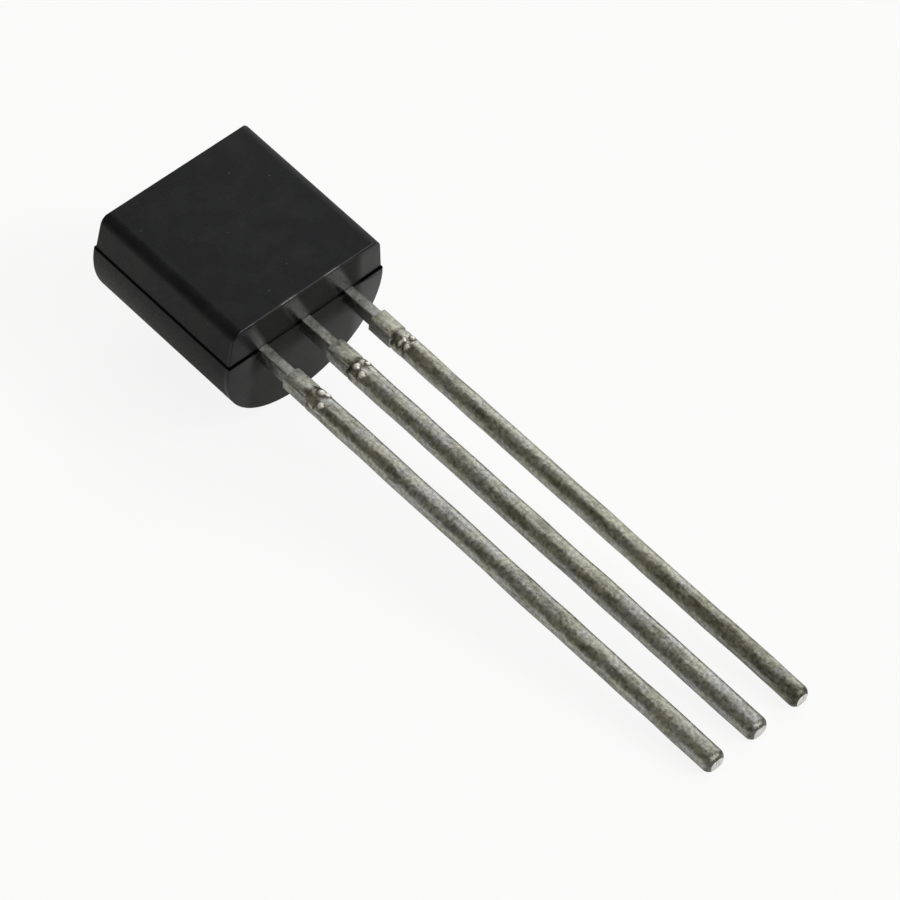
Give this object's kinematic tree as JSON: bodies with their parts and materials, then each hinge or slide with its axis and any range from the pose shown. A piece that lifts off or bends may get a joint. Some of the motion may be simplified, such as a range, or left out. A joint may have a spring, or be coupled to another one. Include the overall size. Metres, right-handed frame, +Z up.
{
  "type": "to-92 transistor",
  "caption": "Through-hole transistor: a small black D-shaped moulded body with a flat side and a round back, on straight solder-dipped leads side by side.",
  "frame": {"origin": "on the table, under the middle of the whole part's box, as the part lies at rest", "axes": "+X across the leads, from the emitter lead to the base lead; -Y the way the leads point; +Z up, with the flat side of the body facing up"},
  "size_m": [0.0046, 0.0188, 0.0042],
  "materials": {
    "black_epoxy": "fine spark-eroded mould texture, semi-matte",
    "tinned_lead": "dull solder dip over a stamped strip",
    "silicon": "polished",
    "silver_cement": "matt",
    "gold_wire": "bright"
  },
  "bodies": {
    "root": {"epoxy_body": "black_epoxy", "emitter_lead": "tinned_lead", "collector_lead": "tinned_lead", "base_lead": "tinned_lead", "silicon_die": "silicon", "die_bond": "silver_cement", "emitter_wire": "gold_wire", "base_wire": "gold_wire"}
  },
  "joints": []
}
